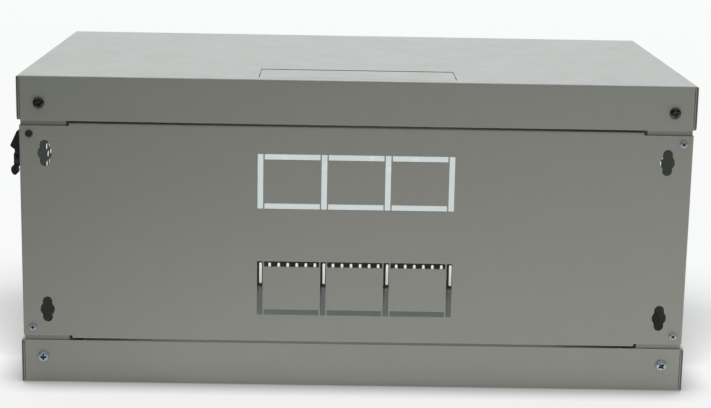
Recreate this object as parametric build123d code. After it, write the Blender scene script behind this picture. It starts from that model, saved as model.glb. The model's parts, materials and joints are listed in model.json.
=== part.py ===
"""Wall-mount network cabinet, four rack units high, 600 mm wide and 350 mm deep.

Frame: +Z up, the door faces -Y, the wall side faces +Y. The origin is the middle of the cabinet's
footprint, on the plane that the bottom cover rests on. "Left" is +X, the left-hand side of somebody
who looks at the wall side. Every length is in millimetres.
"""

from build123d import *
import os

os.makedirs("parts", exist_ok=True)

# Overall size
WIDTH = 600.0
DEPTH = 350.0
HEIGHT = 280.0
MID_Z = HEIGHT / 2
HALF_W = WIDTH / 2
HALF_D = DEPTH / 2

# Sheet metal
SHEET = 1.2
FRAME_SHEET = 1.5
BEND_RADIUS = 1.6

# Top and bottom covers
COVER_FLANGE = 39.6
SEAM = 0.6
HEM = 12.0
CORNER_RADIUS = 4.0
COVER_SCREW_X = 280.4
COVER_SCREW_Z = 24.0
CABLE_FLAP_WIDTH = 176.0
CABLE_FLAP_FAR = 69.0
CABLE_FLAP_NEAR = 12.0
SLIT = 0.8
FAR_SLIT = 4.5
FLAP_TIE = 3.0
VENT_WIDTH = 2.8
VENT_PITCH = 10.0
VENT_COUNT = 45
VENT_Z = (3.8, 27.5)

# Rear panel, side panels and door share the band between the two covers
SKIN_HALF_W = 298.2
PANEL_GAP = 1.8
PANEL_LOW = COVER_FLANGE + PANEL_GAP
PANEL_RETURN = 15.0
PANEL_CORNER_X = 254.0
PANEL_CORNER_DROP = 2.7
PANEL_SIDE_RETURN = 8.0
KNOCKOUT_WIDTH = 175.2
KNOCKOUT_HEIGHT = 49.6
KNOCKOUT_OFFSET = 48.8
KNOCKOUT_SLOT = 5.0
KNOCKOUT_TIE = 1.2
KEYHOLE_X = 276.0
KEYHOLE_Z = 68.5
KEYHOLE_WIDTH = 8.8
KEYHOLE_HEIGHT = 23.5
KEYHOLE_EYE = 13.0
PANEL_SCREW_X = 289.4
PANEL_SCREW_Z = 51.6

# Corner uprights
UPRIGHT_INNER_X = 257.0
UPRIGHT_OUTER_X = 297.0
UPRIGHT_DEPTH = 41.0
UPRIGHT_END_GAP = 0.5
DOOR_SEAT_Y = -HALF_D + 20.0

# Depth bars that carry the rack rails
BAR_INNER_X = 244.0
BAR_FLANGE_Z = 37.5
BAR_LOW_Z = 12.0
BAR_FRONT = -HALF_D + 22.0
BAR_BACK = HALF_D - 3.2
BAR_SLOT_WIDTH = 6.6
BAR_SLOT_X = 252.0
BAR_BOLT_Y = (-HALF_D + 40.0, HALF_D - 22.0)
BAR_BOLT_Z = 25.0

# Rack rails, on the EIA 19-inch hole pattern
RACK_UNIT = 44.45
RACK_UNITS = 4
RACK_HOLE_Z = (6.35, 22.225, 38.1)
RACK_HOLE_CENTRES = 465.1
RACK_HOLE = 9.5
RACK_OPENING = 450.0
RAIL_SHEET = 2.0
RAIL_FRONT_Y = -HALF_D + 60.0
RAIL_DEPTH = 30.0
RAIL_OUTER_X = 262.0
RAIL_BOLT_Y = RAIL_FRONT_Y + 17.0
RAIL_TRAVEL = 100.0

# Side panels and their quarter-turn latches
SIDE_FRONT_Y = -HALF_D + 20.6
SIDE_BACK_Y = HALF_D - 8.6
SIDE_RETURN = 12.0
SIDE_RETURN_Y = (-HALF_D + 65.0, HALF_D - 47.0)
TAB_Y = (-80.0, 80.0)
TAB_WIDTH = 30.0
TAB_LENGTH = 5.5
SIDE_VENT_LENGTH = 12.0
SIDE_VENT_WIDTH = 6.0
SIDE_VENT_PITCH = 15.4
SIDE_VENT_ROW_PITCH = 8.6
SIDE_VENT_ROWS = 9
SIDE_VENT_Z = 192.5
LATCH_EDGE = 9.4
LATCH_Z = 204.4
LATCH_SHAFT_R = 5.0
LATCH_FIT = 0.05
LATCH_WING = ((1.5, 24.5), (3.0, 24.0), (8.8, 11.6), (8.7, 10.2), (5.1, 7.4), (1.5, 7.4))
LATCH_NECK = ((0, 8), (5.1, 8), (5.1, 4.9), (6.0, 3.4), (6.0, -7.4), (3.3, -9.0), (0, -7))
LATCH_TAIL = (5.8, -11.6)
LATCH_TAIL_SIZE = (2.8, 4.3)
LATCH_LEFT_Y = SIDE_BACK_Y - LATCH_EDGE
LATCH_RIGHT_Y = SIDE_FRONT_Y + LATCH_EDGE

# Door
DOOR_DEPTH = 16.0
DOOR_STILE = 48.0
DOOR_RAIL = 22.0
DOOR_LOW = COVER_FLANGE + 1.5
HINGE_X = 293.0
HINGE_Y = -HALF_D + 9.0
HINGE_PIN_R = 2.5
HINGE_FIT = 0.08
HINGE_PIN_LOW = 219.0
HINGE_PIN_LENGTH = 25.6
HINGE_COLLAR_LOW = 233.9
HINGE_COLLAR_HEIGHT = 1.6
HINGE_SPRING_LOW = 225.95
HINGE_EAR_FOOT = 212.0
HINGE_EAR_Z = (224.0, 225.5)
HINGE_BRACKET_Z = (241.0, 243.0)
HINGE_BRACKET_TOP = 270.0
GLASS_LAP = 9.0
GLASS_THICKNESS = 4.0
TAPE = 1.0
LOCK_X = -274.0
LOCK_PLUG_R = 6.0
LOCK_BODY_R = 9.0
LOCK_HEAD_R = 11.0
LOCK_FIT = 0.06

# Screw heads
PAN_HEAD = 2.6
SMALL_HEAD = 2.0
EARTH_X = 200.0
EARTH_Y = HALF_D - 40.0


# ---------------------------------------------------------------- helpers

def block(x, y, z):
    """A box between the low and high value of each pair."""
    size = [high - low for low, high in (x, y, z)]
    middle = [(high + low) / 2 for low, high in (x, y, z)]
    return Pos(*middle) * Box(*size)


def rod(radius, start, length, axis):
    """A cylinder that starts at a point and runs along +X, +Y or +Z."""
    turn = {"x": Rot(0, 90, 0), "y": Rot(-90, 0, 0), "z": Rot(0, 0, 0)}[axis]
    cylinder = Cylinder(radius, length, align=(Align.CENTER, Align.CENTER, Align.MIN))
    return Pos(*start) * turn * cylinder


def mirror_x(shape):
    return mirror(shape, about=Plane.YZ)


def flip_z(shape):
    """The same piece upside down about the cabinet's mid-height."""
    return mirror(shape, about=Plane.XY.offset(MID_Z))


def save(name, *solids):
    """Write one node, as one solid or as a group of separate solids."""
    shape = solids[0] if len(solids) == 1 else Compound(children=list(solids))
    export_step(shape, f"parts/{name}.step")


def upright_sheet(sketch, outer_y):
    """A flat sheet that stands in XZ, with its +Y face at outer_y."""
    return Pos(0, outer_y, 0) * Rot(90, 0, 0) * extrude(sketch, SHEET)


def four_corners(x, z):
    """The points (+-x, z) and their mirror images about mid-height."""
    return [(sx * x, h) for sx in (-1, 1) for h in (z, HEIGHT - z)]


def phillips(radius, depth):
    """A cross recess that opens at z = 0 and goes down."""
    arm = radius * 0.28
    reach = radius * 0.62
    cross = Box(2 * reach, arm, depth) + Box(arm, 2 * reach, depth)
    return Pos(0, 0, -depth / 2) * cross


def pan_screw(shank_r, head_r, head_h, length):
    """A pan-head screw along +Z: the head's underside is at z = 0 and the shank goes down."""
    head = Cylinder(head_r, head_h, align=(Align.CENTER, Align.CENTER, Align.MIN))
    head = fillet(head.edges().group_by(Axis.Z)[-1], head_h * 0.55)
    shank = Pos(0, 0, -length / 2) * Cylinder(shank_r, length)
    return head + shank - Pos(0, 0, head_h + 0.01) * phillips(head_r, head_h * 0.75)


def hex_nut(flats, bore_r, height):
    """A hexagonal nut on z = 0."""
    outline = RegularPolygon(flats / 2, 6, major_radius=False)
    return extrude(outline - Circle(bore_r), height)


# ---------------------------------------------------------------- covers

def cover_tray():
    """The bottom cover's pressing: a plate with four upturned flanges."""
    outer = block((-HALF_W, HALF_W), (-HALF_D, HALF_D), (0, COVER_FLANGE))
    outer = fillet(outer.edges().group_by(Axis.Z)[0], BEND_RADIUS)
    inner = block(
        (-HALF_W + SHEET, HALF_W - SHEET),
        (-HALF_D + SHEET, HALF_D - SHEET),
        (SHEET, COVER_FLANGE + 1),
    )
    inner = fillet(inner.edges().group_by(Axis.Z)[0], BEND_RADIUS - SHEET)
    return outer - inner


def cover_hem(sx, sy):
    """The side flange's end, folded back on itself."""
    x = sorted((sx * (HALF_W - SHEET), sx * (HALF_W - 2 * SHEET)))
    y = sorted((sy * HALF_D, sy * (HALF_D - HEM)))
    return block(x, y, (BEND_RADIUS + 0.4, COVER_FLANGE))


def cover_seam(sx, sy):
    """The open gap between a side flange and the front or rear flange."""
    edge = HALF_W - 2 * SHEET
    x = sorted((sx * edge, sx * (edge - SEAM)))
    y = sorted((sy * (HALF_D - SHEET - 0.5), sy * (HALF_D + 1)))
    return block(x, y, (BEND_RADIUS + 0.4, COVER_FLANGE + 1))


def cover_corner(sx, sy):
    """What is rounded off the side flange's free corner."""
    r = CORNER_RADIUS
    x = sorted((sx * (HALF_W - 2 * SHEET - 0.1), sx * (HALF_W + 1)))
    y = sorted((sy * (HALF_D - r), sy * (HALF_D + 1)))
    square = block(x, y, (COVER_FLANGE - r, COVER_FLANGE + 1))
    centre = (x[0] - 1, sy * (HALF_D - r), COVER_FLANGE - r)
    return square - rod(r, centre, x[1] - x[0] + 2, "x")


def cable_flap_slits():
    """The slit round the cable flap: wide at its far side, and broken by ties near the rear edge."""
    far = HALF_D - CABLE_FLAP_FAR
    near = HALF_D - CABLE_FLAP_NEAR
    half = CABLE_FLAP_WIDTH / 2
    deep = (-1, SHEET + 1)
    slits = [block((-half, half), (far - FAR_SLIT / 2, far + FAR_SLIT / 2), deep)]
    for sx in (-1, 1):
        x = sorted((sx * half, sx * (half - SLIT)))
        slits.append(block(x, (far, near - FLAP_TIE), deep))
        x = sorted((sx * FLAP_TIE / 2, sx * (half - SLIT - FLAP_TIE)))
        slits.append(block(x, (near - SLIT, near), deep))
    return slits


def vent_slots():
    """Upright slots, side by side, in the flange below or above the door."""
    slot = SlotOverall(VENT_Z[1] - VENT_Z[0], VENT_WIDTH, rotation=90)
    first = -VENT_PITCH * (VENT_COUNT - 1) / 2
    places = [Pos(first + i * VENT_PITCH, sum(VENT_Z) / 2) * slot for i in range(VENT_COUNT)]
    cutter = extrude(Sketch(children=places), SHEET + 2)
    return Pos(0, -HALF_D + SHEET + 1, 0) * Rot(90, 0, 0) * cutter


def cover():
    """The bottom cover. The top cover is the same pressing, turned over."""
    body = cover_tray()
    corners = [(sx, sy) for sx in (-1, 1) for sy in (-1, 1)]
    body = body + [cover_hem(sx, sy) for sx, sy in corners]
    cuts = [cover_seam(sx, sy) for sx, sy in corners]
    cuts += [cover_corner(sx, sy) for sx, sy in corners]
    cuts += cable_flap_slits()
    cuts.append(vent_slots())
    for sx in (-1, 1):
        start = (sx * COVER_SCREW_X, -HALF_D - 5, COVER_SCREW_Z)
        cuts.append(rod(3.1, start, DEPTH + 10, "y"))
    return body - cuts


# ---------------------------------------------------------------- rear panel

def knockout_field(centre_z):
    """Four upright slots and six level slots that leave three flaps on thin ties."""
    pitch = (KNOCKOUT_WIDTH - KNOCKOUT_SLOT) / 3
    upright = Rectangle(KNOCKOUT_SLOT, KNOCKOUT_HEIGHT)
    level = Rectangle(pitch - KNOCKOUT_SLOT - 2 * KNOCKOUT_TIE, KNOCKOUT_SLOT)
    edge = (KNOCKOUT_HEIGHT - KNOCKOUT_SLOT) / 2
    cuts = [Pos((i - 1.5) * pitch, centre_z) * upright for i in range(4)]
    for i in range(3):
        for side in (-1, 1):
            cuts.append(Pos((i - 1) * pitch, centre_z + side * edge) * level)
    return cuts


def keyhole(x, z):
    """An upright slot with a round eye in its middle, for a wall screw's head."""
    slot = SlotOverall(KEYHOLE_HEIGHT, KEYHOLE_WIDTH, rotation=90)
    return Pos(x, z) * (slot + Circle(KEYHOLE_EYE / 2))


def panel_outline():
    """The flat of the rear panel, cut lower at its corners, where the posts show."""
    height = HEIGHT - 2 * PANEL_LOW
    outline = Pos(0, MID_Z) * Rectangle(2 * SKIN_HALF_W, height)
    width = SKIN_HALF_W - PANEL_CORNER_X + 1
    corner = Rectangle(width, 2 * PANEL_CORNER_DROP)
    for sx in (-1, 1):
        for sz in (-1, 1):
            outline -= Pos(sx * (PANEL_CORNER_X + width / 2), MID_Z + sz * height / 2) * corner
    return outline


def rear_panel():
    flat = panel_outline()
    for side in (-1, 1):
        flat = flat - knockout_field(MID_Z + side * KNOCKOUT_OFFSET)
    flat = flat - [keyhole(x, z) for x, z in four_corners(KEYHOLE_X, KEYHOLE_Z)]
    holes = [Pos(x, z) * Circle(2.1) for x, z in four_corners(PANEL_SCREW_X, PANEL_SCREW_Z)]
    panel = upright_sheet(flat - holes, HALF_D)
    back = HALF_D - SHEET + 0.2
    for z in (PANEL_LOW, HEIGHT - PANEL_LOW - SHEET):
        x = (-PANEL_CORNER_X, PANEL_CORNER_X)
        panel += block(x, (HALF_D - PANEL_RETURN, back), (z, z + SHEET))
    low = PANEL_LOW + PANEL_CORNER_DROP
    for sx in (-1, 1):
        x = sorted((sx * SKIN_HALF_W, sx * (SKIN_HALF_W - SHEET)))
        panel += block(x, (HALF_D - PANEL_SIDE_RETURN, back), (low, HEIGHT - low))
    return fillet(outer_bends(panel), BEND_RADIUS)


def outer_bends(panel):
    """The panel's folded edges: the long outer ones at the wall side."""
    face_edges = panel.edges().filter_by_position(Axis.Y, HALF_D - 0.01, HALF_D + 0.01)
    level = face_edges.filter_by(Axis.X).filter_by(lambda e: e.length > 400)
    upright = face_edges.filter_by(Axis.Z).filter_by(lambda e: e.length > 150)
    return level + upright


# ---------------------------------------------------------------- frame

def rear_upright():
    """The left rear corner post, an angle section."""
    z = (SHEET + UPRIGHT_END_GAP, HEIGHT - SHEET - UPRIGHT_END_GAP)
    face = HALF_D - SHEET
    flange = block((UPRIGHT_INNER_X, UPRIGHT_OUTER_X), (face - FRAME_SHEET, face), z)
    web = block((UPRIGHT_OUTER_X - FRAME_SHEET, UPRIGHT_OUTER_X), (face - UPRIGHT_DEPTH, face), z)
    post = flange + web
    cuts = []
    for height in (COVER_SCREW_Z, HEIGHT - COVER_SCREW_Z):
        cuts.append(rod(3.1, (COVER_SCREW_X, face - 3, height), 6, "y"))
    for height in (PANEL_SCREW_Z, HEIGHT - PANEL_SCREW_Z):
        cuts.append(rod(2.1, (PANEL_SCREW_X, face - 3, height), 6, "y"))
    for height in (KEYHOLE_Z, HEIGHT - KEYHOLE_Z):
        wide = KEYHOLE_EYE / 2 + 2
        tall = KEYHOLE_HEIGHT / 2 + 3
        x = (KEYHOLE_X - wide, KEYHOLE_X + wide)
        cuts.append(block(x, (face - 3, face + 3), (height - tall, height + tall)))
    return post - cuts - bar_bolt_holes(BAR_BOLT_Y[1])


def bar_bolt_holes(y):
    start_x = UPRIGHT_OUTER_X - 8
    heights = (BAR_BOLT_Z, HEIGHT - BAR_BOLT_Z)
    return [rod(2.6, (start_x, y, height), 12, "x") for height in heights]


def latch_slot(y):
    """The slot in a left post that lets an upright cam through and catches one turned level."""
    z = (LATCH_Z - 9, LATCH_Z + 25)
    return block((UPRIGHT_OUTER_X - 3, UPRIGHT_OUTER_X + 3), (y - 7, y + 7), z)


def front_upright(side):
    """A front corner post: side is +1 on the left, -1 on the right.

    Its ends reach forward to the covers' front flanges. Between them a set-back flange
    stops the door.
    """
    z = (SHEET + UPRIGHT_END_GAP, HEIGHT - SHEET - UPRIGHT_END_GAP)
    face = -HALF_D + SHEET
    ends = ((z[0], COVER_FLANGE - 1.6), (HEIGHT - COVER_FLANGE + 1.6, z[1]))
    wide = (UPRIGHT_INNER_X, UPRIGHT_OUTER_X)
    thin = (UPRIGHT_OUTER_X - FRAME_SHEET, UPRIGHT_OUTER_X)
    post = block(wide, (DOOR_SEAT_Y, DOOR_SEAT_Y + FRAME_SHEET), z)
    post += block(thin, (DOOR_SEAT_Y, DOOR_SEAT_Y + UPRIGHT_DEPTH), z)
    for end in ends:
        post += block(wide, (face, face + FRAME_SHEET), end)
        post += block(thin, (face, DOOR_SEAT_Y + 1), end)
    cuts = []
    for height in (COVER_SCREW_Z, HEIGHT - COVER_SCREW_Z):
        cuts.append(rod(3.1, (COVER_SCREW_X, face - 3, height), 8, "y"))
    post = post - cuts - bar_bolt_holes(BAR_BOLT_Y[0])
    if side > 0:
        return post
    return mirror_x(post) - lock_window()


def lock_window():
    """The window in the door stop that the lock's cam passes through."""
    x = (LOCK_X - 13, LOCK_X + 10)
    return block(x, (DOOR_SEAT_Y - 2, DOOR_SEAT_Y + 4), (MID_Z - 26, MID_Z + 14))


def depth_bar():
    """The lower left bar: an angle section, slotted for the rack rail's bolts."""
    outer = UPRIGHT_OUTER_X - FRAME_SHEET
    top = BAR_FLANGE_Z + FRAME_SHEET
    length = (BAR_FRONT, BAR_BACK)
    bar = block((outer - FRAME_SHEET, outer), length, (BAR_LOW_Z, top))
    bar += block((BAR_INNER_X, outer), length, (BAR_FLANGE_Z, top))
    middle = RAIL_BOLT_Y + RAIL_TRAVEL / 2
    slot = SlotOverall(RAIL_TRAVEL + BAR_SLOT_WIDTH, BAR_SLOT_WIDTH, rotation=90)
    cuts = [Pos(BAR_SLOT_X, middle, BAR_FLANGE_Z - 2) * extrude(slot, 6)]
    cuts += [rod(2.6, (outer - 8, y, BAR_BOLT_Z), 12, "x") for y in BAR_BOLT_Y]
    for y in TAB_Y:
        reach = TAB_WIDTH / 2 + 3
        cuts.append(block((outer - 5, outer + 2), (y - reach, y + reach), (28, top + 1)))
    return bar - cuts


# ---------------------------------------------------------------- rack rails

def rack_hole_heights():
    base = MID_Z - RACK_UNITS * RACK_UNIT / 2
    return [base + unit * RACK_UNIT + h for unit in range(RACK_UNITS) for h in RACK_HOLE_Z]


def nut_heights():
    """Each rack unit has a cage nut in its lowest and its highest hole."""
    heights = rack_hole_heights()
    return heights[0::3] + heights[2::3]


def rack_rail():
    """The left rail: an angle with square holes, and a foot at each end."""
    z = (BAR_FLANGE_Z + FRAME_SHEET, HEIGHT - BAR_FLANGE_Z - FRAME_SHEET)
    x = (RACK_OPENING / 2, RAIL_OUTER_X)
    y = (RAIL_FRONT_Y, RAIL_FRONT_Y + RAIL_DEPTH)
    rail = block(x, (y[0], y[0] + RAIL_SHEET), z)
    rail += block((x[1] - RAIL_SHEET, x[1]), y, z)
    feet = ((z[0], z[0] + RAIL_SHEET), (z[1] - RAIL_SHEET, z[1]))
    for foot in feet:
        rail += block(x, y, foot)
    hole_x = RACK_HOLE_CENTRES / 2
    half = RACK_HOLE / 2
    cuts = []
    for height in rack_hole_heights():
        hole = ((hole_x - half, hole_x + half), (y[0] - 1, y[0] + 4), (height - half, height + half))
        cuts.append(block(*hole))
    cuts.append(rod(3.2, (BAR_SLOT_X, RAIL_BOLT_Y, z[0] - 5), z[1] - z[0] + 10, "z"))
    return rail - cuts


def cage_nut(x, height):
    """The square nut behind one hole of a rail, with its neck in the hole."""
    y = RAIL_FRONT_Y
    nut = block((x - 4.0, x + 4.0), (y + 0.2, y + 6.0), (height - 4.0, height + 4.0))
    return nut - rod(3.0, (x, y - 2, height), 12, "y")


def nut_cage(x, height):
    """The spring clip that holds one nut: a back plate and two arms that grip the hole."""
    y = RAIL_FRONT_Y
    cage = block((x - 4.6, x + 4.6), (y + 6.1, y + 6.8), (height - 5.2, height + 5.2))
    for sx in (-1, 1):
        arm_x = sorted((x + sx * 4.1, x + sx * 4.6))
        cage += block(arm_x, (y + 0.1, y + 6.8), (height - 3.6, height + 3.6))
        lip_x = sorted((x + sx * 4.1, x + sx * 6.2))
        cage += block(lip_x, (y + 2.1, y + 2.6), (height - 3.6, height + 3.6))
    return cage - rod(3.4, (x, y - 2, height), 12, "y")


def rail_bolt(z_up):
    """The bolt through a rail's foot and the bar's slot."""
    foot_top = BAR_FLANGE_Z + FRAME_SHEET + RAIL_SHEET
    bolt = Pos(BAR_SLOT_X, RAIL_BOLT_Y, foot_top) * pan_screw(2.95, 6.0, 3.3, 14)
    return flip_z(bolt) if z_up else bolt


def rail_nut(z_up):
    nut = Pos(BAR_SLOT_X, RAIL_BOLT_Y, BAR_FLANGE_Z - 5.0) * hex_nut(10, 3.0, 5.0)
    return flip_z(nut) if z_up else nut


# ---------------------------------------------------------------- side panels

def side_vent_centres():
    """A field of short level slots in staggered rows, with five and four slots by turns."""
    middle = (SIDE_FRONT_Y + SIDE_BACK_Y) / 2
    reach = SIDE_VENT_ROWS // 2
    centres = []
    for row in range(-reach, reach + 1):
        count = 5 - row % 2
        first = middle - SIDE_VENT_PITCH * (count - 1) / 2
        height = SIDE_VENT_Z + row * SIDE_VENT_ROW_PITCH
        centres += [(first + i * SIDE_VENT_PITCH, height) for i in range(count)]
    return centres


def side_panel(latch_y):
    """A left panel: tabs at the foot, returns at top and bottom, vents high up."""
    low = PANEL_LOW
    high = HEIGHT - PANEL_LOW
    inner = SKIN_HALF_W - SHEET
    skin = (inner, SKIN_HALF_W)
    panel = block(skin, (SIDE_FRONT_Y, SIDE_BACK_Y), (low, high))
    for z in (low, high - SHEET):
        panel += block((inner - SIDE_RETURN, inner + 0.2), SIDE_RETURN_Y, (z, z + SHEET))
    for y in TAB_Y:
        panel += block(skin, (y - TAB_WIDTH / 2, y + TAB_WIDTH / 2), (low - TAB_LENGTH, low + 1))
    slot = SlotOverall(SIDE_VENT_LENGTH, SIDE_VENT_WIDTH)
    places = [Pos(y, z) * slot for y, z in side_vent_centres()]
    vents = Plane.YZ.offset(inner - 2) * extrude(Sketch(children=places), 6)
    shaft = rod(LATCH_SHAFT_R + LATCH_FIT, (inner - 2, latch_y, LATCH_Z), 6, "x")
    return panel - vents - shaft


def place_latch(shape, left):
    """Put a latch piece, built for the left side at Y = 0, on its own panel."""
    if left:
        return Pos(0, LATCH_LEFT_Y, 0) * shape
    return Pos(0, LATCH_RIGHT_Y, 0) * Rot(0, 0, 180) * shape


def latch_bezel():
    """The collar that the handle turns on."""
    ring = rod(8.0, (SKIN_HALF_W, 0, LATCH_Z), 1.4, "x")
    return ring - rod(LATCH_SHAFT_R + LATCH_FIT, (SKIN_HALF_W - 1, 0, LATCH_Z), 4, "x")


def latch_handle():
    """A turn handle: a wedge-shaped finger wing above its hub and a rounded one below."""
    base = SKIN_HALF_W + 1.5
    wing = make_face(Polyline(*LATCH_WING, close=True))
    neck = make_face(Polyline(*LATCH_NECK, close=True))
    outline = wing + neck + Pos(*LATCH_TAIL) * Rot(0, 0, -14) * Ellipse(*LATCH_TAIL_SIZE)
    body = extrude(outline, 5.0, both=True)
    handle = Pos(base, 0, LATCH_Z) * Rot(90, 0, 0) * body
    handle += rod(7.2, (base, 0, LATCH_Z), 4.5, "x")
    handle += rod(LATCH_SHAFT_R, (294.2, 0, LATCH_Z), base - 294.2 + 1, "x")
    square = block((292.0, 294.3), (-3, 3), (LATCH_Z - 3, LATCH_Z + 3))
    return handle + square - rod(1.9, (285, 0, LATCH_Z), 14, "x")


def latch_cam():
    """The flat arm inside: upright when open, behind the post when turned level."""
    arm = block((292.1, 294.1), (-5, 5), (LATCH_Z, LATCH_Z + 17))
    arm += rod(5.0, (292.1, 0, LATCH_Z + 17), 2.0, "x")
    arm += rod(6.4, (292.1, 0, LATCH_Z), 2.0, "x")
    return arm - block((291, 295), (-3.05, 3.05), (LATCH_Z - 3.05, LATCH_Z + 3.05))


def latch_screw():
    screw = Rot(0, -90, 0) * pan_screw(1.85, 3.9, 2.2, 6)
    return Pos(292.0, 0, LATCH_Z) * screw


# ---------------------------------------------------------------- door

def door_frame():
    """A shallow tray whose face is cut out for the glass."""
    high = HEIGHT - DOOR_LOW
    outer = block((-SKIN_HALF_W, SKIN_HALF_W), (-HALF_D, -HALF_D + DOOR_DEPTH), (DOOR_LOW, high))
    outer = fillet(outer.edges().group_by(Axis.Y)[0], BEND_RADIUS)
    inner_x = SKIN_HALF_W - SHEET
    inner = block(
        (-inner_x, inner_x),
        (-HALF_D + SHEET, -HALF_D + DOOR_DEPTH + 1),
        (DOOR_LOW + SHEET, high - SHEET),
    )
    window_x = SKIN_HALF_W - DOOR_STILE
    window = block(
        (-window_x, window_x),
        (-HALF_D - 1, -HALF_D + SHEET + 1),
        (DOOR_LOW + DOOR_RAIL, high - DOOR_RAIL),
    )
    cuts = [inner, window]
    cuts.append(rod(LOCK_BODY_R + 0.05, (LOCK_X, -HALF_D - 1, MID_Z), 4, "y"))
    pin_hole = HINGE_PIN_R + HINGE_FIT
    cuts.append(rod(pin_hole, (HINGE_X, HINGE_Y, DOOR_LOW - 2), HEIGHT - 2 * DOOR_LOW + 4, "z"))
    return outer - cuts


def glass_span(extra):
    """Half width, low and high edge of the glass, less a margin."""
    half = SKIN_HALF_W - DOOR_STILE + GLASS_LAP - extra
    low = DOOR_LOW + DOOR_RAIL - GLASS_LAP + extra
    return half, low, HEIGHT - low


def door_glass():
    half, low, high = glass_span(0)
    front = -HALF_D + SHEET + TAPE
    pane = block((-half, half), (front, front + GLASS_THICKNESS), (low, high))
    return chamfer(pane.edges().filter_by(Axis.X) + pane.edges().filter_by(Axis.Z), 0.6)


def glass_tape():
    """The black bonding strip between the frame and the glass."""
    half, low, high = glass_span(1)
    strip = GLASS_LAP - 2
    front = -HALF_D + SHEET
    ring = block((-half, half), (front, front + TAPE), (low, high))
    hole_x = (-half + strip, half - strip)
    return ring - block(hole_x, (front - 1, front + 2), (low + strip, high - strip))


def glass_clip(x, z, turn):
    """A folded clip: its foot is on the frame and its tongue is over the glass."""
    foot = block((1.0, 11.0), (0, SHEET), (-7, 7))
    riser = block((1.0, 2.2), (0, TAPE + GLASS_THICKNESS + 1.0), (-7, 7))
    tongue = block((-6.0, 2.2), (TAPE + GLASS_THICKNESS, TAPE + GLASS_THICKNESS + 1.0), (-7, 7))
    clip = Rot(0, turn, 0) * (foot + riser + tongue)
    return Pos(x, -HALF_D + SHEET, z) * clip


def glass_clips():
    """Two clips on each stile and three on each rail, where the rail leaves room for them."""
    half, low, high = glass_span(0)
    clips = [glass_clip(half, z, 0) for z in (MID_Z - 55, MID_Z + 55)]
    clips += [glass_clip(-half, z, 180) for z in (MID_Z - 55, MID_Z + 55)]
    for x in (-150, 0, 150):
        clips.append(glass_clip(x, low, 90))
        clips.append(glass_clip(x, high, -90))
    return clips


def hinge_pin():
    """The upper pin: it stands up through the door's return into the bracket above."""
    pin = rod(HINGE_PIN_R, (HINGE_X, HINGE_Y, HINGE_PIN_LOW), HINGE_PIN_LENGTH, "z")
    pin = chamfer(pin.edges().group_by(Axis.Z)[-1], 0.6)
    pin += rod(3.6, (HINGE_X, HINGE_Y, HINGE_COLLAR_LOW), HINGE_COLLAR_HEIGHT, "z")
    handle_z = HINGE_COLLAR_LOW + HINGE_COLLAR_HEIGHT / 2
    pin += rod(1.2, (HINGE_X - 15, HINGE_Y, handle_z), 15, "x")
    return pin


def hinge_spring():
    """The coil spring that keeps the pin up, between its collar and the lower ear."""
    path = Pos(HINGE_X, HINGE_Y, HINGE_SPRING_LOW) * Helix(pitch=1.25, height=7.5, radius=3.08)
    wire = Plane(origin=path @ 0, z_dir=path % 0) * Circle(0.36)
    return sweep(wire, path)


def hinge_ear():
    """The folded ear, welded to the door's face, that guides the pin's lower end."""
    face = -HALF_D + SHEET
    x = (HINGE_X - 9, SKIN_HALF_W - SHEET - 0.2)
    low, high = HINGE_EAR_Z
    ear = block(x, (face, HINGE_Y + 4), (low, high))
    ear += block(x, (face, face + FRAME_SHEET), (HINGE_EAR_FOOT, high))
    return ear - rod(HINGE_PIN_R + HINGE_FIT, (HINGE_X, HINGE_Y, low - 4), 8, "z")


def hinge_bracket():
    """The upper bracket, held behind the post's end by the cover's screw."""
    face = -HALF_D + SHEET + FRAME_SHEET
    x = (268.0, UPRIGHT_OUTER_X - FRAME_SHEET - 0.2)
    low, high = HINGE_BRACKET_Z
    plate = block(x, (face, DOOR_SEAT_Y - 1), (low, high))
    plate += block(x, (face, face + high - low), (low, HINGE_BRACKET_TOP))
    plate -= rod(HINGE_PIN_R + HINGE_FIT, (HINGE_X, HINGE_Y, low - 3), 8, "z")
    return plate - rod(3.1, (COVER_SCREW_X, face - 3, HEIGHT - COVER_SCREW_Z), 8, "y")


def lock_housing():
    """The lock's fixed body: a round head outside and a threaded barrel inside."""
    head = rod(LOCK_HEAD_R, (LOCK_X, -HALF_D - PAN_HEAD, MID_Z), PAN_HEAD, "y")
    head = fillet(head.edges().group_by(Axis.Y)[0], 1.0)
    body = head + rod(LOCK_BODY_R, (LOCK_X, -HALF_D - 0.1, MID_Z), 18.1, "y")
    return body - rod(LOCK_PLUG_R + LOCK_FIT, (LOCK_X, -HALF_D - 5, MID_Z), 30, "y")


def lock_nut():
    nut = Rot(-90, 0, 0) * hex_nut(23, LOCK_BODY_R + 0.05, 4.0)
    return Pos(LOCK_X, -HALF_D + SHEET, MID_Z) * nut


def lock_plug():
    """The part that the key turns, with its key slot and its square tail."""
    front = -HALF_D - PAN_HEAD
    plug = rod(LOCK_PLUG_R, (LOCK_X, front, MID_Z), 24.8, "y")
    tail_y = (front + 24.6, front + 27.0)
    plug += block((LOCK_X - 3, LOCK_X + 3), tail_y, (MID_Z - 3, MID_Z + 3))
    plug -= block((LOCK_X - 0.9, LOCK_X + 0.9), (front - 1, front + 16), (MID_Z - 4, MID_Z + 4))
    return plug - rod(1.9, (LOCK_X, front + 17, MID_Z), 12, "y")


def lock_cam():
    """The flat arm on the plug's tail: it hangs down when the door is free."""
    back = -HALF_D - PAN_HEAD + 24.9
    arm = block((LOCK_X - 6, LOCK_X + 6), (back, back + 2), (MID_Z - 17, MID_Z))
    arm += rod(6.0, (LOCK_X, back, MID_Z - 17), 2.0, "y")
    arm += rod(7.5, (LOCK_X, back, MID_Z), 2.0, "y")
    return arm - block((LOCK_X - 3.05, LOCK_X + 3.05), (back - 1, back + 3), (MID_Z - 3.05, MID_Z + 3.05))


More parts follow.
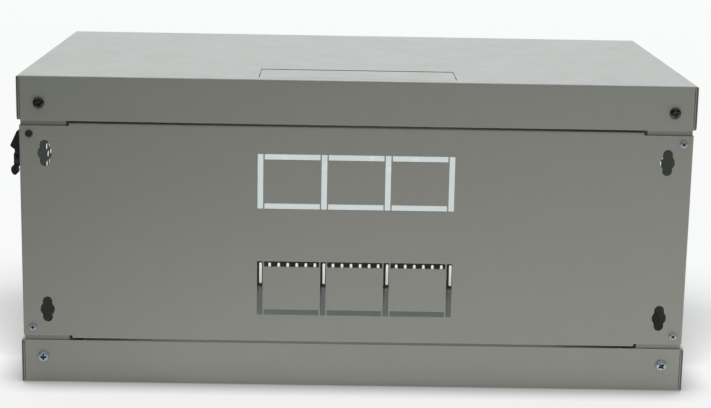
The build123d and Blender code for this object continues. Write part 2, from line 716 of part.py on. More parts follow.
def lock_cam_screw():
    screw = Rot(-90, 0, 0) * pan_screw(1.85, 3.9, 2.2, 8)
    return Pos(LOCK_X, -HALF_D - PAN_HEAD + 27.1, MID_Z) * screw


# ---------------------------------------------------------------- fasteners and earth stud

def facing_screws(x, z, shank_r, head_r, head_h, length, front):
    """Screws at the four corner points, with heads on the wall side or on the door side."""
    turn = Rot(90, 0, 0) if front else Rot(-90, 0, 0)
    y = -HALF_D if front else HALF_D
    screw = turn * pan_screw(shank_r, head_r, head_h, length)
    return [Pos(px, y, pz) * screw for px, pz in four_corners(x, z)]


def bar_bolts():
    """One bolt at each end of each bar, with its head inside the cabinet."""
    screw = Rot(0, -90, 0) * pan_screw(2.5, 4.6, 2.6, 3.0)
    inner = UPRIGHT_OUTER_X - 2 * FRAME_SHEET
    bolts = []
    for y in BAR_BOLT_Y:
        for z in (BAR_BOLT_Z, HEIGHT - BAR_BOLT_Z):
            bolt = Pos(inner, y, z) * screw
            bolts += [bolt, mirror_x(bolt)]
    return bolts


def earth_stud():
    """A stud welded to the floor near the wall side, for the protective earth."""
    stud = rod(2.95, (EARTH_X, EARTH_Y, SHEET), 20, "z")
    return stud + rod(5.0, (EARTH_X, EARTH_Y, SHEET), 1.0, "z")


def earth_nuts():
    """A washer and two nuts on the stud."""
    washer = Pos(EARTH_X, EARTH_Y, SHEET + 1.1) * extrude(Circle(6) - Circle(3.1), 1.6)
    nuts = [Pos(EARTH_X, EARTH_Y, SHEET + z) * hex_nut(10, 3.0, 5.0) for z in (2.8, 12.0)]
    return [washer] + nuts


# ---------------------------------------------------------------- build every node

tray = cover()
save("bottom_cover", tray)
save("top_cover", flip_z(tray))
save("rear_panel", rear_panel())

save("rear_upright_left", rear_upright() - latch_slot(LATCH_LEFT_Y))
save("rear_upright_right", mirror_x(rear_upright()))
save("front_upright_left", front_upright(1))
save("front_upright_right", front_upright(-1) - mirror_x(latch_slot(LATCH_RIGHT_Y)))

lower_bar = depth_bar()
save("depth_bar_lower_left", lower_bar)
save("depth_bar_lower_right", mirror_x(lower_bar))
save("depth_bar_upper_left", flip_z(lower_bar))
save("depth_bar_upper_right", flip_z(mirror_x(lower_bar)))

for side, place in (("left", lambda shape: shape), ("right", mirror_x)):
    save(f"rack_rail_{side}", place(rack_rail()))
    hole_x = RACK_HOLE_CENTRES / 2
    save(f"cage_nuts_{side}", *[place(cage_nut(hole_x, z)) for z in nut_heights()])
    save(f"nut_cages_{side}", *[place(nut_cage(hole_x, z)) for z in nut_heights()])
    save(f"rail_bolts_{side}", *[place(rail_bolt(up)) for up in (False, True)])
    save(f"rail_nuts_{side}", *[place(rail_nut(up)) for up in (False, True)])

save("side_panel_left", side_panel(LATCH_LEFT_Y))
save("side_panel_right", mirror_x(side_panel(LATCH_RIGHT_Y)))
for side in ("left", "right"):
    left = side == "left"
    save(f"side_latch_bezel_{side}", place_latch(latch_bezel(), left))
    save(f"side_latch_handle_{side}", place_latch(latch_handle(), left))
    save(f"side_latch_cam_{side}", place_latch(latch_cam(), left))
    save(f"side_latch_screw_{side}", place_latch(latch_screw(), left))

save("door_frame", door_frame())
save("door_glass", door_glass())
save("door_glass_tape", glass_tape())
save("door_glass_clips", *glass_clips())

for level, place in (("upper", lambda shape: shape), ("lower", flip_z)):
    save(f"hinge_pin_{level}", place(hinge_pin()))
    save(f"hinge_spring_{level}", place(hinge_spring()))
    save(f"hinge_ear_{level}", place(hinge_ear()))
    save(f"hinge_bracket_{level}", place(hinge_bracket()))

save("door_lock_housing", lock_housing())
save("door_lock_nut", lock_nut())
save("door_lock_plug", lock_plug())
save("door_lock_cam", lock_cam())
save("door_lock_cam_screw", lock_cam_screw())

cover_screw = (COVER_SCREW_X, COVER_SCREW_Z, 2.95, 5.0, PAN_HEAD)
save("cover_screws_rear", *facing_screws(*cover_screw, 11, front=False))
save("cover_screws_front", *facing_screws(*cover_screw, 8, front=True))
panel_screw = (PANEL_SCREW_X, PANEL_SCREW_Z, 1.95, 3.3, SMALL_HEAD)
save("rear_panel_screws", *facing_screws(*panel_screw, 9, front=False))
save("bar_bolts", *bar_bolts())
save("earth_stud", earth_stud())
save("earth_nuts", *earth_nuts())
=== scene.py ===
import json
from math import cos, pi, radians, sin

import bmesh
import bpy
from mathutils import Matrix, Vector


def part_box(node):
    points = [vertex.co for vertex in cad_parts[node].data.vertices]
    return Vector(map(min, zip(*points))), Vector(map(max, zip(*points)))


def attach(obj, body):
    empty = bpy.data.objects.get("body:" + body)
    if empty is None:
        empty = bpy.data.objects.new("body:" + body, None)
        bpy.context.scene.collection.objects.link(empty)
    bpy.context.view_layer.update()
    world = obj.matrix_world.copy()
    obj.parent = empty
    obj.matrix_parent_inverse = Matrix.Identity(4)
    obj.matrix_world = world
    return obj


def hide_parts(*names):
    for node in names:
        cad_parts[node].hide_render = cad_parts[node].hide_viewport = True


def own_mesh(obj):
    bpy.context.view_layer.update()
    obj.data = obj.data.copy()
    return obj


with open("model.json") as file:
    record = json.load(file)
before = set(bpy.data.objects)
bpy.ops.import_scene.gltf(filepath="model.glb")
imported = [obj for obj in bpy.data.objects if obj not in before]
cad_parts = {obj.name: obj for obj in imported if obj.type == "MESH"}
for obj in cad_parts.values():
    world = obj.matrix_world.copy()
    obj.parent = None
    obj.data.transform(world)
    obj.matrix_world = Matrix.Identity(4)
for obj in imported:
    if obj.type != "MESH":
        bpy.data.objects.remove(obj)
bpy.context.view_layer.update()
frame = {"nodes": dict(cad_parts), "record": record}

MM = 0.001

# The camera stands behind the cabinet's wall side, above its middle.
CAMERA_PLACE = (0.0175, 1.6771, 0.4907)
CAMERA_PITCH = radians(12.059)
CAMERA_YAW = radians(-0.656)
CAMERA_ROLL = radians(1.056)
CAMERA_LENS = 87.31
SENSOR = 36.0

# Studio light: a broad lobe of sky overhead and a smaller one before the door.
KEY_DIRECTION = (-0.08, -0.38, 0.92)
SKY_POWER = 2.2
SKY_STRENGTH = 1.70
DOOR_SIDE_DIRECTION = (0.0, -0.94, 0.34)
DOOR_SIDE_POWER = 8.0
DOOR_SIDE_STRENGTH = 0.9
SKY_COLOUR = (0.958, 1.0, 1.045, 1.0)
BACKDROP = (0.930, 0.937, 0.934, 1.0)

# The floor glows evenly to the camera, apart from a painted contact shadow near the cabinet. Its
# light on the cabinet fades between two distances.
FLOOR_HALF = 30.0
FLOOR_DROP = 0.0004
FLOOR_GREY = (0.14, 0.14, 0.14, 1)
PALE = (0.968, 0.968, 0.962, 1.0)
FLOOR_GLOW = 0.84
FLOOR_MIDDLE = (-0.74, 0.05, 0.0)
FLOOR_BRIGHT = (0.9, 1.7)
FAR_GLOW = 0.03
CONTACT_REACH = (0.20, 0.035)  # at the door side and at the wall side
CONTACT_SHADE = 0.4

GLASS_INDEX = 1.5
GLASS_CLEAR, GLASS_SMEARED = (0.835, 0.875, 0.875, 1), (0.81, 0.85, 0.85, 1)
HEM_INNER = 298.4 * MM  # the covers' folded side edges lie beyond this

COVER_SCREW = {"head": 5.0 * MM, "height": 2.5 * MM, "shank": 2.95 * MM, "length": 8 * MM}
PANEL_SCREW = {"head": 3.3 * MM, "height": 1.9 * MM, "shank": 1.95 * MM, "length": 7 * MM}
PAN_CROWN = (  # shares of the head's radius and height, from the middle out
    (0, 1), (0.45, 0.995), (0.68, 0.95), (0.84, 0.83), (0.94, 0.64), (0.99, 0.40), (1, 0.20),
)
THREAD_PITCH = 0.8 * MM
SHEET_FACE = 175 * MM  # from the middle to the sheet under the screw heads

SPRING_WIRE = 0.36 * MM
SPRING_GAP = 0.4 * MM  # clears the grip of the hinge pin
COIL_OPEN_TURNS = 3
CLOSED_RISE = 2.1  # a closed turn's rise over the wire's radius, so that turns don't touch
COIL_STEPS = 36
WIRE_SIDES = 10


def placed(name, data):
    """A new object in the scene."""
    thing = bpy.data.objects.new(name, data)
    bpy.context.scene.collection.objects.link(thing)
    return thing


# ---------------------------------------------------------------- shader helpers

class Nodes:
    """A material's node tree, with short calls for the nodes used here."""

    def __init__(self, name):
        self.material = bpy.data.materials.new(name)
        self.material.use_nodes = True
        self.tree = self.material.node_tree
        self.tree.nodes.clear()
        self.out = self.add("ShaderNodeOutputMaterial")
        self.bsdf = self.add("ShaderNodeBsdfPrincipled")
        self.link(self.bsdf.outputs["BSDF"], self.out.inputs["Surface"])
        self.place = self.add("ShaderNodeTexCoord").outputs["Object"]

    def add(self, kind, **settings):
        node = self.tree.nodes.new(kind)
        for key, value in settings.items():
            setattr(node, key, value)
        return node

    def link(self, a, b):
        self.tree.links.new(a, b)

    def feed(self, socket, value):
        """Connect a socket's source, or set its plain value."""
        if isinstance(value, bpy.types.NodeSocket):
            self.link(value, socket)
        else:
            socket.default_value = value

    def noise(self, scale, detail=2.0, roughness=0.5, stretch=None):
        """Smooth noise from 0 to 1, drawn out along an axis by stretch."""
        node = self.add("ShaderNodeTexNoise")
        source = self.place
        if stretch:
            mapping = self.add("ShaderNodeMapping")
            self.link(self.place, mapping.inputs["Vector"])
            mapping.inputs["Scale"].default_value = stretch
            source = mapping.outputs["Vector"]
        self.link(source, node.inputs["Vector"])
        node.inputs["Scale"].default_value = scale
        node.inputs["Detail"].default_value = detail
        node.inputs["Roughness"].default_value = roughness
        return node.outputs["Fac"]

    def cells(self, scale, output="Color"):
        """Voronoi cells."""
        node = self.add("ShaderNodeTexVoronoi")
        self.link(self.place, node.inputs["Vector"])
        node.inputs["Scale"].default_value = scale
        return node.outputs[output]

    def spread(self, value, low, high, new_low=0.0, new_high=1.0):
        """Map a value's range onto another, clamped."""
        node = self.add("ShaderNodeMapRange")
        self.feed(node.inputs["Value"], value)
        ends = {"From Min": low, "From Max": high, "To Min": new_low, "To Max": new_high}
        for key, end in ends.items():
            node.inputs[key].default_value = end
        return node.outputs["Result"]

    def math(self, operation, a, b=0.0):
        node = self.add("ShaderNodeMath", operation=operation)
        self.feed(node.inputs[0], a)
        self.feed(node.inputs[1], b)
        return node.outputs["Value"]

    def mix(self, factor, a, b):
        """Mix two colours."""
        node = self.add("ShaderNodeMix", data_type="RGBA")
        sockets = {x.identifier: x for x in node.inputs}
        self.feed(sockets["Factor_Float"], factor)
        self.feed(sockets["A_Color"], a)
        self.feed(sockets["B_Color"], b)
        return {x.identifier: x for x in node.outputs}["Result_Color"]

    def shade(self, colour, factor):
        """Multiply a colour's brightness by a factor."""
        node = self.add("ShaderNodeVectorMath", operation="SCALE")
        plain = isinstance(colour, tuple)
        self.feed(node.inputs[0], colour[:3] if plain else colour)
        self.feed(node.inputs["Scale"], factor)
        return node.outputs["Vector"]

    def bump(self, height, strength, distance, under=None):
        """A normal pushed about by a height, over an underlying normal."""
        node = self.add("ShaderNodeBump")
        self.feed(node.inputs["Height"], height)
        node.inputs["Strength"].default_value = strength
        node.inputs["Distance"].default_value = distance
        if under is not None:
            self.link(under, node.inputs["Normal"])
        return node.outputs["Normal"]

    def rounded(self, radius):
        """The normal with edges rounded by a radius."""
        node = self.add("ShaderNodeBevel", samples=6)
        node.inputs["Radius"].default_value = radius
        return node.outputs["Normal"]

    def edges(self, radius):
        """1 on edges, 0 on flat faces."""
        flat = self.add("ShaderNodeNewGeometry").outputs["Normal"]
        dot = self.add("ShaderNodeVectorMath", operation="DOT_PRODUCT")
        self.link(self.rounded(radius), dot.inputs[0])
        self.link(flat, dot.inputs[1])
        return self.spread(dot.outputs["Value"], 0.995, 0.80)

    def finish(self, **sockets):
        """Feed the Principled shader's sockets by name."""
        for name, value in sockets.items():
            self.feed(self.bsdf.inputs[name.replace("_", " ")], value)
        return self.material


def rgb(r, g, b):
    """An sRGB colour of 0 to 255 as linear RGBA."""
    parts = [c / 255 for c in (r, g, b)]
    linear = [c / 12.92 if c <= 0.04045 else ((c + 0.055) / 1.055) ** 2.4 for c in parts]
    return (*linear, 1.0)


# ---------------------------------------------------------------- materials

def powder_coat(name="powder_coat", cut_edges=False, shade=1.0):
    """Fine-texture light grey powder coat, paler on its edges as wear and as a painted highlight,
    with the covers' folded side ends made darker on request and a factor that darkens it all over.
    """
    n = Nodes(name)
    cloud = n.spread(n.noise(5.0, 3.0), 0.3, 0.7, 0.993, 1.007)
    blotch = n.spread(n.noise(70.0, 2.0), 0.3, 0.7, 0.99, 1.01)
    grain = n.noise(1400.0, 2.0, 0.6)
    speck = n.spread(grain, 0.25, 0.75, 0.97, 1.03)
    tone = n.math("MULTIPLY", n.math("MULTIPLY", cloud, blotch), speck)
    colour = n.shade(rgb(181, 182.5, 171.5), n.math("MULTIPLY", tone, shade))
    # Paler edges: partly wear, partly a painted highlight where edges catch the overhead light.
    wear_and_edge_highlight = n.math("MULTIPLY", n.edges(0.8 * MM), n.spread(n.noise(160.0, 3.0), 0.3, 0.7, 0.3, 0.7))
    colour = n.mix(wear_and_edge_highlight, colour, rgb(214, 216, 206))
    if cut_edges:
        # The covers' folded side ends are made darker.
        colour = n.mix(cut_edge_mask(n), colour, rgb(104, 109, 105))
    rough = n.spread(n.noise(45.0, 3.0), 0.3, 0.7, 0.40, 0.50)
    peel = n.math("ADD", grain, n.noise(420.0, 1.0))
    normal = n.bump(peel, 0.10, 0.15 * MM, n.rounded(0.45 * MM))
    return n.finish(Base_Color=colour, Roughness=rough, Normal=normal)


def cut_edge_mask(n):
    """1 on the covers' folded side edges, where they end at the wall side and the door side."""
    axes = n.add("ShaderNodeSeparateXYZ")
    n.link(n.place, axes.inputs["Vector"])
    outside = n.math("GREATER_THAN", n.math("ABSOLUTE", axes.outputs["X"]), HEM_INNER)
    facing = n.add("ShaderNodeSeparateXYZ")
    n.link(n.add("ShaderNodeNewGeometry").outputs["True Normal"], facing.inputs["Vector"])
    end = n.math("GREATER_THAN", n.math("ABSOLUTE", facing.outputs["Y"]), 0.7)
    return n.math("MULTIPLY", outside, end)


def zinc_sheet():
    """Zinc-plated sheet with a faint spangle and rolling lines."""
    n = Nodes("zinc_sheet")
    spangle = n.spread(n.cells(130.0), 0.0, 1.0, 0.94, 1.05)
    lines = n.spread(n.noise(300.0, 2.0, stretch=(0.05, 1.0, 1.0)), 0.3, 0.7, 0.97, 1.03)
    stain = n.spread(n.noise(22.0, 3.0), 0.35, 0.75, 1.0, 0.88)
    tone = n.math("MULTIPLY", n.math("MULTIPLY", spangle, lines), stain)
    colour = n.shade(rgb(188, 192, 198), tone)
    rough = n.spread(n.noise(60.0, 3.0), 0.3, 0.7, 0.30, 0.46)
    normal = n.bump(n.noise(900.0, 2.0), 0.08, 0.1 * MM, n.rounded(0.4 * MM))
    return n.finish(Base_Color=colour, Metallic=0.95, Roughness=rough, Normal=normal)


def plated(name, colour, dull, rough):
    """A plated or polished metal with cloudy patches, fine scratches and worn edges."""
    n = Nodes(name)
    patch = n.spread(n.noise(260.0, 3.0), 0.35, 0.7)
    scratch = n.noise(900.0, 2.0, 0.6, stretch=(0.15, 1.0, 1.0))
    tint = n.mix(n.math("MULTIPLY", patch, 0.6), colour, dull)
    tint = n.shade(tint, n.spread(scratch, 0.3, 0.7, 0.95, 1.05))
    tint = n.mix(n.math("MULTIPLY", n.edges(0.25 * MM), 0.35), tint, rgb(226, 226, 228))
    gloss = n.spread(n.noise(340.0, 3.0), 0.3, 0.7, rough, rough + 0.14)
    normal = n.bump(scratch, 0.05, 0.05 * MM, n.rounded(0.2 * MM))
    return n.finish(Base_Color=tint, Metallic=1.0, Roughness=gloss, Normal=normal)


def black_plastic():
    """Moulded black nylon with a fine spark-eroded texture and scuffed edges."""
    n = Nodes("black_plastic")
    grain = n.noise(1700.0, 3.0, 0.6)
    colour = n.mix(n.spread(n.noise(210.0, 3.0), 0.4, 0.75), rgb(26, 27, 28), rgb(40, 41, 43))
    colour = n.mix(n.math("MULTIPLY", n.edges(0.4 * MM), 0.4), colour, rgb(88, 89, 92))
    rough = n.spread(n.noise(300.0, 2.0), 0.3, 0.7, 0.38, 0.56)
    normal = n.bump(grain, 0.2, 0.12 * MM, n.rounded(0.4 * MM))
    return n.finish(Base_Color=colour, Roughness=rough, Normal=normal)


def rubber():
    """Black closed-cell foam tape."""
    n = Nodes("rubber")
    pores = n.cells(1300.0, output="Distance")
    colour = n.mix(n.spread(n.noise(160.0, 3.0), 0.3, 0.7), rgb(30, 30, 31), rgb(46, 45, 44))
    normal = n.bump(pores, 0.5, 0.2 * MM)
    rough = n.spread(pores, 0.0, 0.6, 0.75, 0.95)
    return n.finish(Base_Color=colour, Roughness=rough, Normal=normal)


def glass():
    """Clear toughened glass: it lets light straight through and mirrors by Fresnel."""
    n = Nodes("glass")
    n.tree.nodes.remove(n.bsdf)
    clear = n.add("ShaderNodeBsdfTransparent")
    smear = n.spread(n.noise(9.0, 4.0), 0.45, 0.8)
    n.feed(clear.inputs["Color"], n.mix(smear, GLASS_CLEAR, GLASS_SMEARED))
    gloss = n.add("ShaderNodeBsdfAnisotropic")
    gloss.inputs["Color"].default_value = (1, 1, 1, 1)
    n.feed(gloss.inputs["Roughness"], n.math("MULTIPLY", smear, 0.08))
    # Straight-through rays never bend, so the far face must mirror like the near one.
    inner = n.add("ShaderNodeNewGeometry").outputs["Backfacing"]
    fresnel = n.add("ShaderNodeFresnel")
    n.feed(fresnel.inputs["IOR"], n.spread(inner, 0.0, 1.0, GLASS_INDEX, 1 / GLASS_INDEX))
    both = n.add("ShaderNodeMixShader")
    n.link(fresnel.outputs["Fac"], both.inputs["Fac"])
    n.link(clear.outputs["BSDF"], both.inputs[1])
    n.link(gloss.outputs["BSDF"], both.inputs[2])
    n.link(both.outputs["Shader"], n.out.inputs["Surface"])
    return n.material


MATERIALS = {
    "powder_coat": powder_coat(),
    "zinc_sheet": zinc_sheet(),
    "zinc_hardware": plated("zinc_hardware", rgb(200, 208, 220), rgb(176, 184, 200), 0.24),
    "spring_steel": plated("spring_steel", rgb(128, 128, 132), rgb(96, 95, 96), 0.30),
    "black_plastic": black_plastic(),
    "rubber": rubber(),
    "glass": glass(),
    "chrome": plated("chrome", rgb(222, 224, 228), rgb(206, 209, 214), 0.08),
    "brass": plated("brass", rgb(204, 176, 110), rgb(176, 146, 84), 0.26),
}
CUT_EDGE_COAT = powder_coat("powder_coat_cut_edges", cut_edges=True)
# The rear uprights sit recessed behind the covers' flanges. Their coat is made darker as painted
# shade for that recess.
RECESS_SHADE_COAT = powder_coat("powder_coat_recess_shade", shade=0.84)
NODE_COATS = {
    "top_cover": CUT_EDGE_COAT, "bottom_cover": CUT_EDGE_COAT,
    "rear_upright_left": RECESS_SHADE_COAT, "rear_upright_right": RECESS_SHADE_COAT,
}
SCREW_BRIGHT = plated("zinc_screw_bright", rgb(198, 208, 216), rgb(176, 187, 197), 0.40)
SCREW_DARK = plated("zinc_screw_dark", rgb(88, 88, 88), rgb(44, 44, 45), 0.24)
# The recesses' own materials paint light into them: darker shade for the bright screws, brighter
# glints for the dark ones.
RECESS_PAINTED_SHADE = plated("recess_painted_shade", rgb(84, 92, 102), rgb(52, 58, 66), 0.36)
RECESS_PAINTED_GLINT = plated("recess_painted_glint", rgb(120, 121, 122), rgb(30, 30, 31), 0.22)


def dress_nodes():
    """Give each CAD node the finish of its material slot, or its own coat."""
    for part in frame["record"]["subparts"]:
        node = frame["nodes"][part["node"]]
        node.data.materials.clear()
        usual = MATERIALS[part["material_slot"]]
        node.data.materials.append(NODE_COATS.get(part["node"], usual))


# ---------------------------------------------------------------- screws

def lathe(bm, profile, steps=40):
    """A closed solid of revolution about Z from (radius, height) points that run top to bottom."""
    rings = []
    for radius, height in profile[1:-1]:
        angles = [2 * pi * i / steps for i in range(steps)]
        rings.append([bm.verts.new((radius * cos(a), radius * sin(a), height)) for a in angles])
    top = bm.verts.new((0, 0, profile[0][1]))
    tip = bm.verts.new((0, 0, profile[-1][1]))
    for i in range(steps):
        j = (i + 1) % steps
        bm.faces.new((top, rings[0][i], rings[0][j]))
        bm.faces.new((tip, rings[-1][j], rings[-1][i]))
        for upper, lower in zip(rings, rings[1:]):
            bm.faces.new((upper[i], lower[i], lower[j], upper[j]))


def screw_profile(head, height, shank, length):
    """A pan head and a threaded shank, from the crown to the tip."""
    points = [(r * head, z * height) for r, z in PAN_CROWN]
    points += [(head * 0.985, 0.0), (shank, 0.0)]
    for turn in range(int(length / THREAD_PITCH) - 2):
        z = -THREAD_PITCH * (turn + 1)
        points += [(shank, z), (shank * 0.86, z - THREAD_PITCH / 2)]
    return points + [(shank * 0.7, -length), (0, -length)]


def cross_cutter(bm, head, height):
    """A tapered cross that opens above the crown, as a Phillips driver is shaped."""
    levels = ((1.25, 1.0), (0.98, 0.95), (0.30, 0.52))
    rings = []
    for level, scale in levels:
        arm, reach = 0.135 * head * scale, 0.60 * head * scale
        ring = []
        for quarter in range(4):
            turn = Matrix.Rotation(quarter * pi / 2, 3, "Z")
            for x, y in ((reach, -arm), (reach, arm), (arm * 1.5, arm * 1.5)):
                ring.append(bm.verts.new(turn @ Vector((x, y, level * height))))
        rings.append(ring)
    bm.faces.new(rings[0])
    bm.faces.new(list(reversed(rings[-1])))
    for upper, lower in zip(rings, rings[1:]):
        for i in range(12):
            j = (i + 1) % 12
            bm.faces.new((upper[i], lower[i], lower[j], upper[j]))


def plain_mesh(name, build, *args):
    """A mesh filled by a building function, with its faces turned outward."""
    bm = bmesh.new()
    build(bm, *args)
    bmesh.ops.recalc_face_normals(bm, faces=bm.faces)
    mesh = bpy.data.meshes.new(name)
    bm.to_mesh(mesh)
    bm.free()
    return mesh


def screw_mesh(name, head, height, shank, length):
    """One screw along +Z, its head's underside at z = 0, with a driver's recess in the head."""
    body = placed(name, plain_mesh(name, lathe, screw_profile(head, height, shank, length)))
    tool = placed(name + "_tool", plain_mesh(name + "_tool", cross_cutter, head, height))
    cut = body.modifiers.new("recess", "BOOLEAN")
    cut.object, cut.operation, cut.solver = tool, "DIFFERENCE", "EXACT"
    graph = bpy.context.evaluated_depsgraph_get()
    mesh = bpy.data.meshes.new_from_object(body.evaluated_get(graph))
    for thing in (body, tool):
        bpy.data.objects.remove(thing)
    for face in mesh.polygons:
        x, y, z = face.center
        # The recess keeps flat faces and the second material: painted shade in the bright screws'
        # recesses, painted glints in the dark screws' recesses.
        inside = (x * x + y * y) ** 0.5 < 0.62 * head and 0 < z < 0.93 * height
        face.material_index = 1 if inside else 0
        face.use_smooth = not inside and z > 0.1 * height
    return mesh


def place_screws(name, node, mesh, spots):
    """Put a copy of a screw at each spot, as one piece for each finish: (x, y, z, turn, dark)."""
    for dark in (False, True):
        chosen = [spot for spot in spots if spot[4] == dark]
        if not chosen:
            continue
        bm = bmesh.new()
        for x, y, z, turn, _ in chosen:
            copy = mesh.copy()
            facing = Matrix.Rotation(-pi / 2 if y > 0 else pi / 2, 4, "X")
            turned = facing @ Matrix.Rotation(radians(turn), 4, "Z")
            copy.transform(Matrix.Translation((x, y, z)) @ turned)
            bm.from_mesh(copy)
            bpy.data.meshes.remove(copy)
        whole = bpy.data.meshes.new(name)
        bm.to_mesh(whole)
        bm.free()
        whole.materials.append(SCREW_DARK if dark else SCREW_BRIGHT)
        whole.materials.append(RECESS_PAINTED_GLINT if dark else RECESS_PAINTED_SHADE)
        piece = placed(name + ("_dark" if dark else "_bright"), whole)
        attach(piece, "cabinet")
        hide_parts(node)


def screws():
    """The cover screws and rear panel screws, each turned as it was left."""
    low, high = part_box("cover_screws_rear")
    head = COVER_SCREW["head"]
    x, high_z, low_z = high[0] - head, high[2] - head, low[2] + head
    mesh = screw_mesh("cover_screw", **COVER_SCREW)
    place_screws("rear_cover_screws", "cover_screws_rear", mesh, [
        (x, SHEET_FACE, high_z, 22, True), (-x, SHEET_FACE, high_z, 8, True),
        (x, SHEET_FACE, low_z, 0, False), (-x, SHEET_FACE, low_z, 38, False),
    ])
    place_screws("front_cover_screws", "cover_screws_front", mesh, [
        (x, -SHEET_FACE, high_z, 15, False), (-x, -SHEET_FACE, high_z, 50, False),
        (x, -SHEET_FACE, low_z, 70, False), (-x, -SHEET_FACE, low_z, 31, False),
    ])
    low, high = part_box("rear_panel_screws")
    head = PANEL_SCREW["head"]
    x, high_z, low_z = high[0] - head, high[2] - head, low[2] + head
    mesh = screw_mesh("panel_screw", **PANEL_SCREW)
    place_screws("panel_corner_screws", "rear_panel_screws", mesh, [
        (x, SHEET_FACE, high_z, 30, True), (-x, SHEET_FACE, high_z, 42, False),
        (x, SHEET_FACE, low_z, 4, False), (-x, SHEET_FACE, low_z, 40, False),
    ])


# ---------------------------------------------------------------- hinge springs

def coil(bm, middle, low, high, radius, wire):
    """A coil spring about Z with a closed turn at each end, from low to high over all."""
    closed = CLOSED_RISE * wire
    open_pitch = (high - low - 2 * wire - 2 * closed) / COIL_OPEN_TURNS
    rings = []
    for i in range(COIL_STEPS * (COIL_OPEN_TURNS + 2) + 1):
        turn = i / COIL_STEPS
        height = closed * min(turn, 1) + open_pitch * min(max(turn - 1, 0), COIL_OPEN_TURNS)
        height += closed * max(turn - 1 - COIL_OPEN_TURNS, 0)
        out = Vector((cos(2 * pi * turn), sin(2 * pi * turn), 0))
        centre = Vector((*middle, low + wire + height)) + radius * out
        around = [2 * pi * k / WIRE_SIDES for k in range(WIRE_SIDES)]
        spokes = [wire * (cos(a) * out + Vector((0, 0, sin(a)))) for a in around]
        rings.append([bm.verts.new(centre + spoke) for spoke in spokes])
    for ring, after in zip(rings, rings[1:]):
        for k in range(WIRE_SIDES):
            j = (k + 1) % WIRE_SIDES
            bm.faces.new((ring[k], ring[j], after[j], after[k]))
    bm.faces.new(rings[0])
    bm.faces.new(list(reversed(rings[-1])))


def hinge_springs():
    """The hinge pins' springs, each a coil of one length about its pin. The real ones shorten
    against their ears as the pins are pulled back.
    """
    for level in ("upper", "lower"):
        low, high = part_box("hinge_spring_" + level)
        bottom, top, foot = low[2], high[2] - SPRING_GAP, low[2]
        if level == "lower":
            bottom, top, foot = low[2] + SPRING_GAP, high[2], high[2]
        x, y = (low[0] + high[0]) / 2, (low[1] + high[1]) / 2
        radius = (high[0] - low[0]) / 2 - SPRING_WIRE
        mesh = plain_mesh("hinge_coil", coil, (x, y), bottom, top, radius, SPRING_WIRE)
        for face in mesh.polygons:
            face.use_smooth = len(face.vertices) == 4
        mesh.materials.append(MATERIALS["spring_steel"])
        piece = placed("hinge_coil_" + level, mesh)
        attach(piece, "door")
        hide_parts("hinge_spring_" + level)
        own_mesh(piece)


# ---------------------------------------------------------------- stage

def floor():
    """A plain pale floor that glows, as a lit photographic table does, and dims far away."""
    mesh = bpy.data.meshes.new("floor")
    signs = ((-1, -1), (1, -1), (1, 1), (-1, 1))
    corners = [(FLOOR_HALF * x, FLOOR_HALF * y, -FLOOR_DROP) for x, y in signs]
    mesh.from_pydata(corners, [], [(0, 1, 2, 3)])
    board = placed("floor", mesh)
    n = Nodes("floor_card")
    tone = n.spread(n.noise(0.8, 2.0), 0.3, 0.7, 0.99, 1.0)
    away = n.add("ShaderNodeVectorMath", operation="DISTANCE")
    n.link(n.place, away.inputs[0])
    away.inputs[1].default_value = FLOOR_MIDDLE
    near = n.spread(away.outputs["Value"], *FLOOR_BRIGHT, 1.0, FAR_GLOW)
    seen = n.add("ShaderNodeLightPath").outputs["Is Camera Ray"]
    # Ambient occlusion darkens the glow near the cabinet, more widely on the door side: a painted
    # contact shadow.
    contact = n.add("ShaderNodeAmbientOcclusion", samples=12)
    across = n.add("ShaderNodeSeparateXYZ")
    n.link(n.place, across.inputs["Vector"])
    n.feed(contact.inputs["Distance"], n.spread(across.outputs["Y"], -0.1, 0.1, *CONTACT_REACH))
    shadow = n.spread(contact.outputs["AO"], 0.5, 1.0, CONTACT_SHADE, 1.0)
    glow = n.math("MULTIPLY", n.math("MAXIMUM", near, seen), shadow)
    n.finish(Base_Color=n.shade(FLOOR_GREY, tone), Roughness=0.85)
    n.finish(Emission_Color=PALE, Emission_Strength=n.math("MULTIPLY", glow, FLOOR_GLOW))
    n.bsdf.inputs["Specular IOR Level"].default_value = 0.1
    mesh.materials.append(n.material)


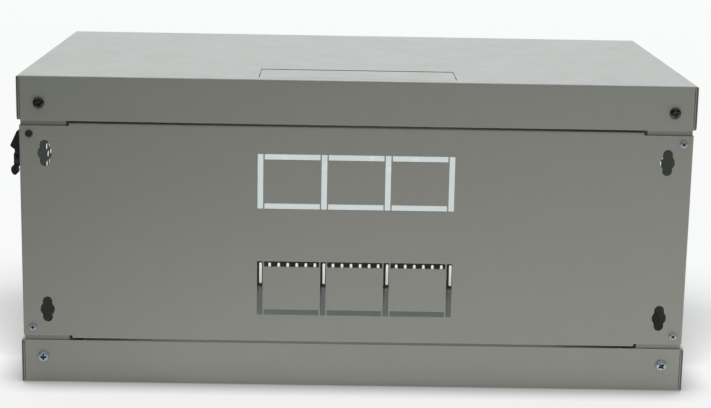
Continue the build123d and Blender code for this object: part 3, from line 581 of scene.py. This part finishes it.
def sky():
    """Soft studio light: a broad cool glow overhead and a smaller one before the door."""
    world = bpy.data.worlds.new("studio")
    bpy.context.scene.world = world
    world.use_nodes = True
    tree = world.node_tree
    tree.nodes.clear()
    new, link = tree.nodes.new, tree.links.new
    place = new("ShaderNodeTexCoord").outputs["Generated"]

    def math(operation, a, b):
        node = new("ShaderNodeMath")
        node.operation = operation
        for socket, value in zip(node.inputs, (a, b)):
            if isinstance(value, bpy.types.NodeSocket):
                link(value, socket)
            else:
                socket.default_value = value
        return node.outputs["Value"]

    def lobe(direction, power, strength):
        dot = new("ShaderNodeVectorMath")
        dot.operation = "DOT_PRODUCT"
        dot.inputs[1].default_value = Vector(direction).normalized()
        link(place, dot.inputs[0])
        lit = math("MAXIMUM", dot.outputs["Value"], 0.0)
        return math("MULTIPLY", math("POWER", lit, power), strength)

    overhead = lobe(KEY_DIRECTION, SKY_POWER, SKY_STRENGTH)
    before_door = lobe(DOOR_SIDE_DIRECTION, DOOR_SIDE_POWER, DOOR_SIDE_STRENGTH)
    glow, backdrop = new("ShaderNodeBackground"), new("ShaderNodeBackground")
    glow.inputs["Color"].default_value = SKY_COLOUR
    link(math("ADD", overhead, before_door), glow.inputs["Strength"])
    backdrop.inputs["Color"].default_value = BACKDROP
    both = new("ShaderNodeMixShader")
    link(new("ShaderNodeLightPath").outputs["Is Camera Ray"], both.inputs["Fac"])
    link(glow.outputs["Background"], both.inputs[1])
    link(backdrop.outputs["Background"], both.inputs[2])
    link(both.outputs["Shader"], new("ShaderNodeOutputWorld").inputs["Surface"])


def camera():
    """The photograph's camera, behind the cabinet and a little above it."""
    data = bpy.data.cameras.new("camera")
    data.sensor_width = SENSOR
    data.lens = CAMERA_LENS
    data.clip_start, data.clip_end = 0.01, 200.0
    eye = placed("camera", data)
    facing = Matrix.Rotation(pi + CAMERA_YAW, 4, "Z")
    tilted = Matrix.Rotation(pi / 2 - CAMERA_PITCH, 4, "X") @ Matrix.Rotation(CAMERA_ROLL, 4, "Z")
    eye.matrix_world = Matrix.Translation(CAMERA_PLACE) @ facing @ tilted
    bpy.context.scene.camera = eye


dress_nodes()
screws()
hinge_springs()
floor()
sky()
camera()
bpy.context.scene.view_settings.view_transform = "Standard"
